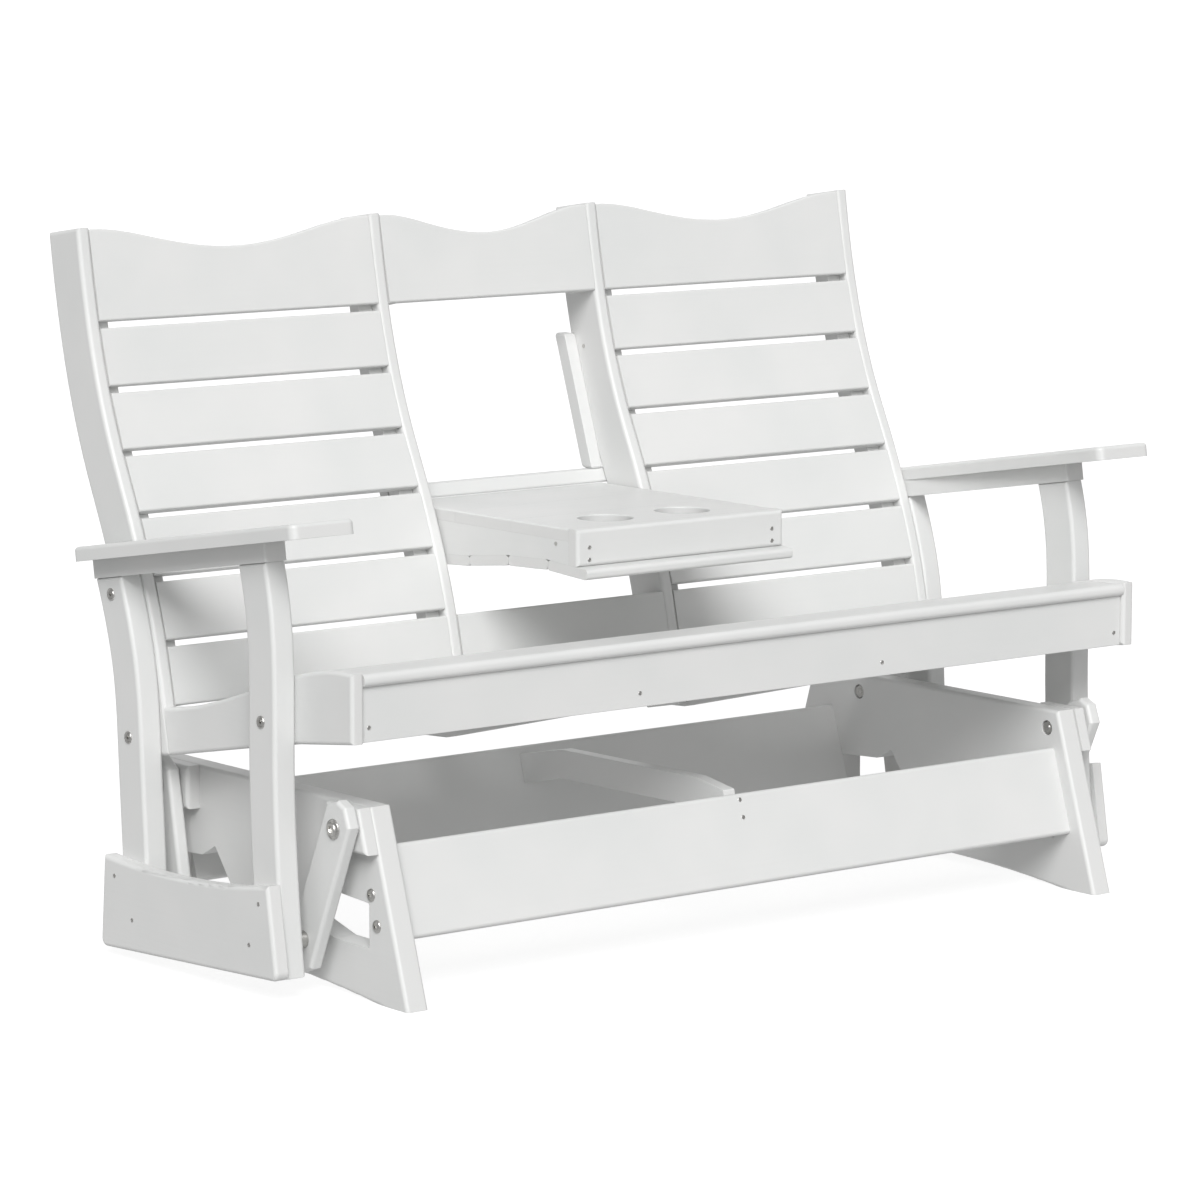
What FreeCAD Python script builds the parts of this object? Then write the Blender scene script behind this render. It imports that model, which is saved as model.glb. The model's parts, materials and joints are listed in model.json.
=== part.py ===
import FreeCAD, Part
import math
import os

V = FreeCAD.Vector

# Glider bench for two, with a fold-down console table between the seats.
# All sizes are millimetres. X runs along the bench, -Y is the front, +Z is up.
# Side profiles are written as (y, z) pairs, with y = 0 over the middle of the base.

# Lumber stock
BOARD_T = 22.0
HEAVY_T = 38.0
SLAT_T = 19.0
SLAT_W = 88.9
SLAT_GAP = 10.4
EDGE_R = 3.5
ROUND_R = 6.0
SEAM = 0.8

# Layers across the bench, from the middle outwards
SEAT_HALF = 743.0
CENTER_HALF = 227.0
PIVOT_GAP = 24.0
WASHER_T = 2.7
SIDE_PLAY = 0.3
FIT = 0.5
END_PLAY = 0.1

# Back
BACK_LINE = [(108, 290), (122, 360), (137, 430), (151, 487), (181, 575),
             (219, 667), (261, 756), (296, 848), (322, 944), (347, 1084)]
POST_D = 84.0
OUTER_POST_Z = 312.0
INNER_POST_Z = 279.0
TOP_RAIL_Z = 944.0
TOP_RAIL_H = 140.0
SCALLOP_D = 36.0
SCALLOP = [(0, 0), (0.08, 0.06), (0.25, 0.55), (0.5, 1), (0.75, 0.55), (0.92, 0.06), (1, 0)]
BACK_CLEAT_W = 26.0
BACK_CLEAT_D = 24.0

# Seat
SEAT_LINE = [(-358, 492), (-285, 489), (-223, 476), (-102, 438), (7, 405), (132, 382)]
RAIL_UNDER = [(-358, 391), (-222, 374), (-101, 352), (132, 308)]
INNER_UNDER = [(-332, 391), (15, 308), (119, 283), (182, 279)]
SEAT_DROP = 1.5
SKIRT_SETBACK = 8.0
SEAT_CLEAT_H = 40.0
SEAT_GAP = 9.0
NOSING_R = 8.55

# Arms, with the post lines and side board measured from the lower pivots
FRONT_POST_LINE = [(-43.3, 20), (-34.3, 100), (-27.3, 177), (-22.3, 260), (-20.3, 340),
                   (-21.3, 457), (-15.3, 560), (1.7, 638), (20.7, 690)]
REAR_POST_LINE = [(-32.3, 20), (-27.3, 150), (-18.3, 310), (-8.3, 430), (7.7, 500),
                  (33.7, 575), (57.7, 635)]
ARM_POST_D = 68.0
ARM_POST_Z = 37.0
ARM_FRONT = (-315.0, 708.0)
ARM_PITCH = 9.2
ARM_LENGTH = 586.0
ARM_W = 110.0
ARM_CLEAT_H = 28.0
ARM_OVERHANG = 33.0
ARM_CORNER_R = 12.0
SIDE_BOARD_FRONT = [(-30.3, 175), (-52.3, 38)]
SIDE_BOARD_REAR = [(67.7, 14), (55.7, 155)]
SIDE_BOARD_DIP = 14.0

# Base, with each window measured inwards from its leg
BASE_HALF = 390.0
BASE_H = 286.0
FOOT_L = 88.0
ARCH_RISE = 16.0
WINDOW = [(0, 79), (0, 145), (87, 150), (121, 168), (173, 103), (87, 80)]
FRONT_LEG_W = 93.0
REAR_LEG_W = 169.0
BASE_RAIL_W = 140.0
BASE_RAIL_Z = 93.0
BASE_RAIL_SETBACK = 26.0
REAR_RAIL_INSET = 183.0
BRACE_LINE = [(-200, 240), (136, 236)]
BRACE_END_DROP = 22.0
BRACE_H = 46.0

# Glide linkage
PIVOT_DROP = 30.0
PIVOT_INSET = 24.0
FRONT_PIVOT_Y = -276.0
PIVOT_SPAN = 458.0
LINK_L = 190.0
LINK_W = 64.0
LINK_TOP_END = 42.0
LINK_LOW_END = 54.0
LINK_CORNER = 22.0
FRONT_LEAN = 24.0
REAR_LEAN = 10.2
BLOCK_H = 66.0
BLOCK_FRONT = 42.0
BLOCK_REAR = 56.0
BOLT_R = 6.0
BUSHING_R = 12.5
RUNNING = 0.05
OPEN_PIVOT = 3.3
HEAD_R = 15.0
HEAD_T = 3.0
CROWN_R = 10.0
CROWN_T = 2.5
SOCKET_AF = 10.0
HEX_AF = 19.0
NUT_T = 10.0
NUT_POCKET_R = 12.0
NUT_POCKET_D = 12.0

# Console table
TABLE_ROWS = 4
TABLE_FOLD = 108.8
TABLE_PIVOT_UP = 8.0
TABLE_PIVOT_DEPTH = 28.0
TABLE_REAR = 90.0
TABLE_LIP = 23.0
TABLE_SLAT_T = 16.0
TABLE_PLAY = 2.0
TABLE_PLANKS = 3
CUP_R = 43.0
CUP_EDGE_R = 1.75
CUP_SPACING = 152.0
TABLE_BOLT_R = 5.0
TABLE_BOLT_HEAD_R = 8.0
TABLE_BOLT_HEAD_T = 5.0
STOP_DROP = 74.0
STOP_D = 26.0
STOP_RAIL_H = 22.0

# Bolts in the arm posts and base rails
FRAME_BOLT_R = 4.0
FRAME_BOLT_HEAD_R = 9.5
FRAME_BOLT_HEAD_T = 4.0
REAR_BOLT_Z = 547.0
REAR_BOLT_UP = 24.0
FRONT_BOLT_Z = 406.0
RAIL_BOLT_DROPS = [(68.0, 114.0), (30.0, 68.0)]

# Layer positions that follow from the sizes above
INNER_POST_IN = CENTER_HALF - BOARD_T
ARM_IN = SEAT_HALF + BOARD_T
ARM_OUT = ARM_IN + HEAVY_T
LINK_OUT = ARM_IN - PIVOT_GAP
LINK_IN = LINK_OUT - BOARD_T
BLOCK_OUT = LINK_IN - WASHER_T - SIDE_PLAY
FRAME_OUT = BLOCK_OUT - BOARD_T
FRAME_IN = FRAME_OUT - HEAVY_T
TABLE_HALF = INNER_POST_IN - TABLE_PLAY

# Pivot points that follow from the sizes above
pivot_z = BASE_H - PIVOT_DROP
uppers = {"front": V(0, FRONT_PIVOT_Y, pivot_z), "rear": V(0, FRONT_PIVOT_Y + PIVOT_SPAN, pivot_z)}
leans = {"front": math.radians(FRONT_LEAN), "rear": math.radians(-REAR_LEAN)}
link_ways = {end: V(0, math.sin(lean), -math.cos(lean)) for end, lean in leans.items()}
lowers = {end: uppers[end] + link_ways[end] * LINK_L for end in uppers}
front_post_line = [(lowers["front"].y + y, z) for y, z in FRONT_POST_LINE]
rear_post_line = [(lowers["rear"].y + y, z) for y, z in REAR_POST_LINE]

nodes = {}


def add(name, *solids):
    """Store one named piece, or a group of like pieces."""
    nodes[name] = solids[0] if len(solids) == 1 else Part.makeCompound(list(solids))


def add_pair(name, solid):
    """Store a right-hand piece and its mirror image on the left."""
    add(name + "_right", solid)
    add(name + "_left", mirrored(solid))


def mirrored(solid):
    """The same piece on the other end of the bench."""
    return solid.mirror(V(0, 0, 0), V(1, 0, 0))


def both(solids):
    """A list of right-hand pieces together with their mirror images."""
    return solids + [mirrored(solid) for solid in solids]


def curve(line):
    """A smooth curve through (y, z) points."""
    smooth = Part.BSplineCurve()
    smooth.interpolate([V(0, y, z) for y, z in line])
    return smooth


def param_at_z(smooth, z):
    """Where a curve that climbs steadily passes the height z."""
    low, high = smooth.FirstParameter, smooth.LastParameter
    for _ in range(60):
        middle = (low + high) / 2
        if smooth.value(middle).z < z:
            low = middle
        else:
            high = middle
    return low


def rearward(direction):
    """Unit vector square to a direction in the side view, on its rear or lower side."""
    return V(0, direction.z, -direction.y).normalize()


def pull(edges, x0, x1):
    """Solid from a closed side profile, pulled from x0 to x1."""
    face = Part.Face(Part.Wire(Part.__sortEdges__(edges)))
    face.translate(V(x0, 0, 0))
    return face.extrude(V(x1 - x0, 0, 0))


def prism(points, x0, x1):
    """Solid with straight sides from (y, z) corners or vectors."""
    corners = [p if isinstance(p, V) else V(0, p[0], p[1]) for p in points]
    ring = corners[1:] + corners[:1]
    return pull([Part.LineSegment(a, b).toShape() for a, b in zip(corners, ring)], x0, x1)


def rounded(solid, radius, choose):
    """The solid with a radius on the edges that the test picks."""
    return solid.makeFillet(radius, [edge for edge in solid.Edges if choose(edge)])


def on_faces(edge):
    """True for an edge that runs round the side face of a board."""
    ends = [edge.valueAt(edge.FirstParameter).x, edge.valueAt(edge.LastParameter).x]
    return abs(ends[0] - ends[1]) < 1e-6


def along_x(edge):
    """True for a straight edge that runs the length of the bench."""
    return not on_faces(edge)


def rod(radius, x0, x1, y, z):
    """Round bar along X."""
    return Part.makeCylinder(radius, x1 - x0, V(x0, y, z), V(1, 0, 0))


def drilled(solid, radius, x0, x1, points):
    """The solid with round holes along X at (y, z) points."""
    for y, z in points:
        solid = solid.cut(rod(radius, x0, x1, y, z))
    return solid


def hexagon(across, x0, x1, y, z):
    """Hexagonal bar along X."""
    reach = across / 2 / math.cos(math.pi / 6)
    turns = [math.radians(60 * i) for i in range(6)]
    return prism([(y + reach * math.sin(a), z + reach * math.cos(a)) for a in turns], x0, x1)


def flange_bolt(tip, seat, y, z):
    """Connector bolt along X: the shank runs from tip to seat, under a low head with a hex socket."""
    way = 1 if seat > tip else -1
    faces = [seat, seat + way * HEAD_T, seat + way * (HEAD_T + CROWN_T)]
    shank = rod(BOLT_R, min(tip, seat), max(tip, seat), y, z)
    flange = rod(HEAD_R, min(faces[:2]), max(faces[:2]), y, z)
    crown = rod(CROWN_R, min(faces[1:]), max(faces[1:]), y, z)
    socket = hexagon(SOCKET_AF, min(faces[1:]), max(faces[1:]), y, z)
    return shank.fuse([flange, crown]).removeSplitter().cut(socket)


def frame_bolt(tip, seat, y, z):
    """Round-headed bolt along X, with its head outside the seat face."""
    top = seat + FRAME_BOLT_HEAD_T
    bolt = rod(FRAME_BOLT_R, tip, seat, y, z).fuse(rod(FRAME_BOLT_HEAD_R, seat, top, y, z))
    rim = [e for e in bolt.Edges if e.Closed and abs(e.CenterOfMass.x - top) < FRAME_BOLT_HEAD_T / 4]
    return bolt.makeChamfer(FRAME_BOLT_HEAD_T / 2, rim)


def nut(x0, x1, y, z):
    """Hex nut along X."""
    return hexagon(HEX_AF, x0, x1, y, z).cut(rod(BOLT_R, x0, x1, y, z))


def ring(outer, inner, x0, x1, y, z):
    """Washer, sleeve or bushing along X."""
    return rod(outer, x0, x1, y, z).cut(rod(inner, x0, x1, y, z))


def plank_edges(smooth, depth, start, end):
    """Side profile of a curved plank: its front curve, moved back square to itself."""
    steps = [start + (end - start) * i / 12 for i in range(13)]
    front = [smooth.value(u) for u in steps]
    rear = [smooth.value(u) + rearward(smooth.tangent(u)[0]) * depth for u in steps]
    rear_curve = Part.BSplineCurve()
    rear_curve.interpolate(rear)
    return [smooth.toShape(start, end), rear_curve.toShape(),
            Part.LineSegment(front[0], rear[0]).toShape(),
            Part.LineSegment(front[-1], rear[-1]).toShape()]


def board_on(bottom, direction, width, thickness):
    """Corners of a flat board: up its front face, then down its rear face."""
    up = direction * width
    back = rearward(direction) * thickness
    return [bottom, bottom + up, bottom + up + back, bottom + back]


# Back: rows of flat slats are laid along the curved front line of the posts.
back = curve(BACK_LINE)
back_start = back.FirstParameter
rail_length = back.length(back_start, param_at_z(back, TOP_RAIL_Z))
seat_length = back.length(back_start, param_at_z(back, SEAT_LINE[-1][1] - 2 * SEAT_DROP))
PITCH = SLAT_W + SLAT_GAP
ROWS = int((rail_length - seat_length) / PITCH)


def back_point(distance):
    """Point on the back line this far above its lower end."""
    return back.value(back.parameterAtDistance(distance, back_start))


def row_frame(row):
    """Lower front edge of a back row and the direction up its face."""
    bottom = back_point(rail_length - row * PITCH)
    top = back_point(rail_length - row * PITCH + SLAT_W)
    return bottom, (top - bottom).normalize()


rail_bottom = back_point(rail_length)
rail_up = (back_point(rail_length + TOP_RAIL_H / 2) - rail_bottom).normalize()
row_boards = {row: board_on(*row_frame(row), SLAT_W, SLAT_T) for row in range(1, ROWS + 1)}
row_boards[0] = board_on(rail_bottom, rail_up, TOP_RAIL_H, SLAT_T)


def slat(row, x0, x1):
    """One flat back slat."""
    return rounded(prism(row_boards[row], x0, x1), EDGE_R, along_x)


def top_rail(x0, x1):
    """Wide rail with a scalloped top edge."""
    corners = row_boards[0]
    blank = prism(corners, x0, x1)
    length = x1 - x0
    dip_curve = Part.BSplineCurve()
    along = [corners[1] + V(x0 + length * share, 0, 0) for share, _ in SCALLOP]
    dip_curve.interpolate([p - rail_up * (SCALLOP_D * dip) for p, (_, dip) in zip(along, SCALLOP)])
    lift = rail_up * SCALLOP_D
    high = [dip_curve.StartPoint + lift, dip_curve.EndPoint + lift]
    outline = [dip_curve.toShape(), Part.LineSegment(dip_curve.StartPoint, high[0]).toShape(),
               Part.LineSegment(high[0], high[1]).toShape(),
               Part.LineSegment(high[1], dip_curve.EndPoint).toShape()]
    waste = Part.Face(Part.Wire(Part.__sortEdges__(outline)))
    waste.translate(rearward(rail_up) * -SLAT_T)
    rail = blank.cut(waste.extrude(rearward(rail_up) * (3 * SLAT_T)))
    front = [e for e in rail.Edges if abs((e.CenterOfMass - corners[0]).dot(rearward(rail_up))) < 0.5]
    return rail.makeFillet(EDGE_R, [e for e in front if e.Length > TOP_RAIL_H * 1.5])


def back_cleat(rows, x0, x1):
    """Strip behind the slats that follows their rear faces."""
    front = []
    rear = []
    for row in rows:
        step = rearward(row_boards[row][1] - row_boards[row][0]) * BACK_CLEAT_D
        front += [row_boards[row][3], row_boards[row][2]]
        rear += [row_boards[row][3] + step, row_boards[row][2] + step]
    front[-1] = rear_cut(rows[-1])
    rear[-1] = front[-1] + rear[-1] - row_boards[rows[-1]][2]
    return prism(front + rear[::-1], x0, x1)


def rear_cut(row):
    """Upper end of a cleat behind a row, below the scallop on the top rail."""
    drop = (row_boards[row][1] - row_boards[row][0]).normalize() * (SCALLOP_D + EDGE_R if row == 0 else 0)
    return row_boards[row][2] - drop


post_end = back.LastParameter


def back_post(lowest, x0, x1):
    """Curved upright cut from a wide plank."""
    profile = plank_edges(back, POST_D, param_at_z(back, lowest), post_end)
    return rounded(pull(profile, x0, x1), ROUND_R, on_faces)


def shared_middle(lines, z):
    """Middle of the width that curved planks, given as (curve, depth), share at a height."""
    near = []
    far = []
    for smooth, depth in lines:
        u = param_at_z(smooth, z)
        near.append(smooth.value(u).y)
        far.append(smooth.value(u).y + depth / rearward(smooth.tangent(u)[0]).y)
    return (max(near) + min(far)) / 2


rear_lines = [(curve(rear_post_line), ARM_POST_D), (back, POST_D)]
front_lines = [(curve(front_post_line), ARM_POST_D)]
rear_heights = [REAR_BOLT_Z, OUTER_POST_Z + REAR_BOLT_UP]
rear_bolts = [(shared_middle(rear_lines, z), z) for z in rear_heights]
front_bolts = [(shared_middle(front_lines, FRONT_BOLT_Z), FRONT_BOLT_Z)]
outer_post = back_post(OUTER_POST_Z, SEAT_HALF, ARM_IN)
outer_post = drilled(outer_post, FRAME_BOLT_R, SEAT_HALF, ARM_IN, rear_bolts)
inner_post = back_post(INNER_POST_Z, INNER_POST_IN, CENTER_HALF)

# Console table: its lower face carries on the back rows when it is folded up.
row_low, row_up = row_frame(TABLE_ROWS)
hinge = row_low + row_up * TABLE_PIVOT_UP + rearward(row_up) * TABLE_PIVOT_DEPTH


def laid_down(point):
    """Where a point of the folded table lies with the table down."""
    turn = FreeCAD.Rotation(V(1, 0, 0), TABLE_FOLD)
    return hinge + turn.multVec(point - hinge)


def folded_up(point):
    """Where a point of the lowered table lies with the table folded."""
    turn = FreeCAD.Rotation(V(1, 0, 0), -TABLE_FOLD)
    return hinge + turn.multVec(point - hinge)


rear_steps = [back_start + (back.LastParameter - back_start) * i / 60 for i in range(61)]
rear_line = [back.value(u) + rearward(back.tangent(u)[0]) * POST_D for u in rear_steps]


def rear_edge(z):
    """Point on the rear edge of the posts at this height."""
    below = [i for i, p in enumerate(rear_line[:-1]) if p.z <= z]
    a, b = rear_line[below[-1]], rear_line[below[-1] + 1]
    return a + (b - a) * ((z - a.z) / (b.z - a.z))


# The folded table lies just inside the rear edge of the posts, which sets its depth.
table_normal = folded_up(hinge + V(0, 0, 1)) - hinge
table_depth = POST_D - TABLE_PIVOT_DEPTH
for _ in range(20):
    table_depth = (rear_edge(hinge.z + table_depth + FIT) - hinge).dot(table_normal) - FIT
table_top = hinge.z + table_depth
table_rear = hinge.y + TABLE_REAR

table_boards = []
for row in range(TABLE_ROWS, 0, -1):
    low, up = row_frame(row)
    folded = board_on(low, up, PITCH - SEAM - (TABLE_PLAY if row == 1 else 0), TABLE_SLAT_T)
    table_boards.append([laid_down(corner) for corner in folded])
inner_line = []
for corners in table_boards:
    inner_line += [corners[3], corners[2]]


def on_line(a, b, y):
    """Point of the line through a and b at this y."""
    return a + (b - a) * ((y - a.y) / (b.y - a.y))


front_y = table_boards[-1][1].y + TABLE_LIP
front_low = [on_line(inner_line[-2], inner_line[-1], front_y),
             on_line(inner_line[-2], inner_line[-1], front_y + BOARD_T)]
rear_low = on_line(inner_line[1], inner_line[0], table_rear)
plank_low = table_top - SLAT_T
side_points = [(table_rear, plank_low), (front_y + BOARD_T, plank_low), front_low[1]]
side_points += inner_line[-2::-1] + [rear_low]
table_side = prism(side_points, TABLE_HALF - BOARD_T, TABLE_HALF)
table_side = drilled(table_side, TABLE_BOLT_R + RUNNING, 0, TABLE_HALF, [(hinge.y, hinge.z)])
front_board = prism([(front_y, table_top), (front_y + BOARD_T, table_top), front_low[1], front_low[0]],
                    -TABLE_HALF, TABLE_HALF)
plank_w = (table_rear - front_y - BOARD_T) / TABLE_PLANKS
table_planks = []
for i in range(TABLE_PLANKS):
    y0 = front_y + BOARD_T + i * plank_w
    corners = [(y0, plank_low), (y0 + plank_w, plank_low), (y0 + plank_w, table_top), (y0, table_top)]
    plank = prism(corners, -TABLE_HALF, TABLE_HALF)
    table_planks.append(rounded(plank, EDGE_R, lambda e: on_faces(e) and table_top - e.CenterOfMass.z < FIT))
cup_y = front_y + BOARD_T + plank_w / 2
for x in (-CUP_SPACING / 2, CUP_SPACING / 2):
    table_planks[0] = table_planks[0].cut(Part.makeCylinder(CUP_R, SLAT_T, V(x, cup_y, plank_low)))
plank_middle = table_top - SLAT_T / 2
cup_plank = rounded(table_planks[0], CUP_EDGE_R, lambda e: e.Closed and e.CenterOfMass.z > plank_middle)

add_pair("console_side", table_side)
add("console_front_board", rounded(front_board, ROUND_R, lambda e: abs(e.CenterOfMass.y - front_y) < FIT))
add("console_cup_plank", cup_plank)
add("console_top_planks", *table_planks[1:])
add("console_bottom_slats",
    *[rounded(prism(c, -TABLE_HALF, TABLE_HALF), ROUND_R, along_x) for c in table_boards])
bolt_in = TABLE_HALF - BOARD_T - SIDE_PLAY
table_bolt = rod(TABLE_BOLT_R, bolt_in, CENTER_HALF - SIDE_PLAY, hinge.y, hinge.z)
table_bolt_head = rod(TABLE_BOLT_HEAD_R, bolt_in - TABLE_BOLT_HEAD_T, bolt_in, hinge.y, hinge.z)
table_bolt = table_bolt.fuse(table_bolt_head)
add("console_pivot_bolts", *both([table_bolt]))
inner_post = drilled(inner_post, TABLE_BOLT_R, 0, CENTER_HALF - SIDE_PLAY, [(hinge.y, hinge.z)])

# Stops for the table: a rail over its rear edge and cleats behind it when it is folded.
flat_low = folded_up(V(0, hinge.y, table_top + FIT))
flat_up = (folded_up(V(0, hinge.y - TABLE_REAR, table_top + FIT)) - flat_low).normalize()
stop_low = rear_edge(table_top + FIT)
stop_high = rear_edge(table_top + FIT + STOP_RAIL_H)
stop_near = V(0, END_PLAY, 0)
stop_far = V(0, END_PLAY + BOARD_T, 0)
stop_rail = prism([stop_low + stop_near, stop_high + stop_near, stop_high + stop_far, stop_low + stop_far],
                  -CENTER_HALF, CENTER_HALF)
add("console_stop_rail", rounded(stop_rail, EDGE_R, along_x))
cleat_low = flat_low + flat_up * ((stop_high.z - flat_low.z) / flat_up.z)
cleat_high = flat_low + flat_up * ((TOP_RAIL_Z - STOP_DROP - flat_low.z) / flat_up.z)
cleat_back = V(0, STOP_D, 0)
stop_cleat = prism([cleat_low, cleat_high, cleat_high + cleat_back, cleat_low + cleat_back],
                   INNER_POST_IN - BOARD_T, INNER_POST_IN)
add("console_stop_cleats", *both([stop_cleat]))

# Seat: the outer rails stand just above the slats, the inner rails carry them.
seat = curve(SEAT_LINE)
seat_front = SEAT_LINE[0][0]
skirt_front = seat_front + SKIRT_SETBACK


def poly_edges(points):
    """Straight edges through a run of points."""
    corners = [p if isinstance(p, V) else V(0, p[0], p[1]) for p in points]
    return [Part.LineSegment(a, b).toShape() for a, b in zip(corners, corners[1:])]


rail_edges = [seat.toShape()]
rail_edges += poly_edges([SEAT_LINE[-1]] + RAIL_UNDER[::-1] + [SEAT_LINE[0]])
outer_rail = pull(rail_edges, SEAT_HALF, ARM_IN)
outer_rail = rounded(outer_rail, ROUND_R, on_faces)
post_blank = pull(plank_edges(back, POST_D, back_start, post_end), SEAT_HALF, ARM_IN)
outer_rail = outer_rail.cut(post_blank)
outer_rail = drilled(outer_rail, FRAME_BOLT_R, SEAT_HALF, ARM_IN, front_bolts)

seat_pitch = SLAT_W + SEAT_GAP
seat_count = int((seat.length() + SEAT_GAP) / seat_pitch)
seat_boards = []
for i in range(seat_count):
    u0 = seat.parameterAtDistance(i * seat_pitch, seat.FirstParameter)
    u1 = seat.parameterAtDistance(i * seat_pitch + SLAT_W, seat.FirstParameter)
    direction = (seat.value(u1) - seat.value(u0)).normalize()
    seat_boards.append(board_on(seat.value(u0) + rearward(direction) * SEAT_DROP, direction, SLAT_W, SLAT_T))
slat_half = SEAT_HALF - END_PLAY
seat_slats = [rounded(prism(c, -slat_half, slat_half), EDGE_R, along_x) for c in seat_boards[1:]]
nosing = prism(seat_boards[0], -slat_half, slat_half)
nosing_front = [e for e in nosing.Edges if along_x(e) and e.CenterOfMass.y < seat_front + SLAT_T]
nosing = nosing.makeFillet(NOSING_R, nosing_front)

support = []
for corners in seat_boards:
    support += [corners[3], corners[2]]
skirt_rear = skirt_front + BOARD_T
support[0] = on_line(support[0], support[1], skirt_rear)
skirt_low = RAIL_UNDER[0][1]
skirt_top = [on_line(support[0], support[1], y) for y in (skirt_front, skirt_rear)]
skirt = prism([(skirt_front, skirt_low), (skirt_rear, skirt_low), skirt_top[1], skirt_top[0]],
              -slat_half, slat_half)
cleat_under = [p - V(0, 0, SEAT_CLEAT_H) for p in support[::-1]]
seat_cleat = prism(support + cleat_under, SEAT_HALF - BOARD_T, SEAT_HALF)
rail_end = INNER_UNDER[-1]
lap_z = support[-1].z - SLAT_T
under_front = (skirt_rear, INNER_UNDER[0][1])
rail_under = [(rail_end[0], lap_z)] + INNER_UNDER[::-1][:-1] + [under_front]
inner_rail = prism(support + rail_under, CENTER_HALF, CENTER_HALF + BOARD_T)

add_pair("seat_rail_outer", outer_rail)
add("seat_rails_inner", *both([inner_rail]))
add("seat_cleats", *both([seat_cleat]))
add("seat_nosing", nosing)
add("seat_slats", *seat_slats)
add("seat_front_skirt", skirt)
add_pair("back_post_outer", outer_post)
add_pair("back_post_inner", inner_post)

side_x = (CENTER_HALF + END_PLAY, SEAT_HALF - END_PLAY)
center_x = INNER_POST_IN - END_PLAY
add_pair("back_top_rail", top_rail(*side_x))
add("back_top_rail_center", top_rail(-center_x, center_x))
side_slats = [slat(row, *side_x) for row in range(1, ROWS + 1)]
add("back_slats_right", *side_slats)
add("back_slats_left", *[mirrored(s) for s in side_slats])
low_rows = list(range(min(TABLE_ROWS + 2, ROWS), ROWS + 1))
add("back_center_slat", *[slat(row, -center_x, center_x) for row in low_rows])
all_rows = list(range(ROWS, -1, -1))
cleats = [back_cleat(all_rows, SEAT_HALF - BACK_CLEAT_W, SEAT_HALF),
          back_cleat(all_rows, CENTER_HALF, CENTER_HALF + BACK_CLEAT_W),
          back_cleat([0], INNER_POST_IN - BACK_CLEAT_W, INNER_POST_IN),
          back_cleat(low_rows[::-1], INNER_POST_IN - BACK_CLEAT_W, INNER_POST_IN)]
add("back_cleats", *both(cleats))

# Arms: sloping boards on a cleat that caps the front and rear arm posts.
pitch = math.radians(ARM_PITCH)
arm_along = V(0, math.cos(pitch), -math.sin(pitch))
arm_normal = V(0, math.sin(pitch), math.cos(pitch))
arm_origin = V(0, *ARM_FRONT)
cleat_under_arm = -BOARD_T - ARM_CLEAT_H


def on_arm(along, up):
    """Point in the side view measured along the arm and square to it."""
    return arm_origin + arm_along * along + arm_normal * up


def arm_post(line, x0, x1):
    """Curved arm post, cut off under the arm cleat and level at the bottom."""
    smooth = curve(line)
    profile = plank_edges(smooth, ARM_POST_D, smooth.FirstParameter, smooth.LastParameter)
    blank = pull(profile, x0, x1)
    reach = ARM_LENGTH
    above = [on_arm(-reach, cleat_under_arm), on_arm(2 * reach, cleat_under_arm), on_arm(2 * reach, reach),
             on_arm(-reach, reach)]
    below = [(-reach, -reach), (reach, -reach), (reach, ARM_POST_Z), (-reach, ARM_POST_Z)]
    cut = blank.cut(prism(above, x0, x1)).cut(prism(below, x0, x1))
    return rounded(cut, ROUND_R, on_faces)


front_post = arm_post(front_post_line, ARM_IN, ARM_OUT)
rear_post = arm_post(rear_post_line, ARM_IN, ARM_OUT)


def along_arm(y):
    """Distance along the arm's lower face to this y."""
    return (y - on_arm(0, -BOARD_T).y) / arm_along.y


cap_corners = [v for v in front_post.Vertexes if v.Z > ARM_FRONT[1] / 2]
cap_front = along_arm(min(v.Y for v in cap_corners))
arm_cleat = prism([on_arm(cap_front, cleat_under_arm), on_arm(ARM_LENGTH, cleat_under_arm),
                   on_arm(ARM_LENGTH, -BOARD_T), on_arm(cap_front, -BOARD_T)], ARM_IN, ARM_OUT)
arm_outer = ARM_OUT + ARM_OVERHANG
arm_inner = arm_outer - ARM_W
meet = along_arm(back.value(param_at_z(back, on_arm(ARM_LENGTH, 0).z)).y)
post_x = ARM_IN + END_PLAY


def arm_board(plan):
    """Board of the arm's thickness from (x, distance along the arm) corners."""
    corners = [V(x, 0, 0) + on_arm(along, -BOARD_T) for x, along in plan]
    return Part.Face(Part.makePolygon(corners + corners[:1])).extrude(arm_normal * BOARD_T)


arm = arm_board([(arm_inner, 0), (arm_outer, 0), (arm_outer, ARM_LENGTH), (arm_inner, ARM_LENGTH)])
beyond = meet + ARM_LENGTH
taper_start = 2 * ARM_CORNER_R
arm = arm.cut(arm_board([(arm_inner, taper_start), (post_x, meet), (post_x, beyond), (arm_inner, beyond)]))


def arm_corner(edge):
    """True for the free upright corners of the arm board."""
    at_post = abs(edge.CenterOfMass.x - post_x) < END_PLAY
    at_inner = abs(edge.CenterOfMass.x - arm_inner) < END_PLAY
    at_taper = at_inner and edge.CenterOfMass.y > ARM_FRONT[0] + ARM_CORNER_R
    upright = abs(edge.tangentAt(edge.FirstParameter).dot(arm_normal)) > 0.99
    return upright and not at_post and not at_taper


arm = rounded(arm, ARM_CORNER_R, arm_corner)
top_faces = [f for f in arm.Faces if f.normalAt(0, 0).dot(arm_normal) > 0.99]
arm = arm.makeFillet(ROUND_R, top_faces[0].OuterWire.Edges)
add_pair("armrest", arm)
add("arm_cleats", *both([rounded(arm_cleat, EDGE_R, lambda e: on_faces(e) and e.Length < 2 * BOARD_T)]))

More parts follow.
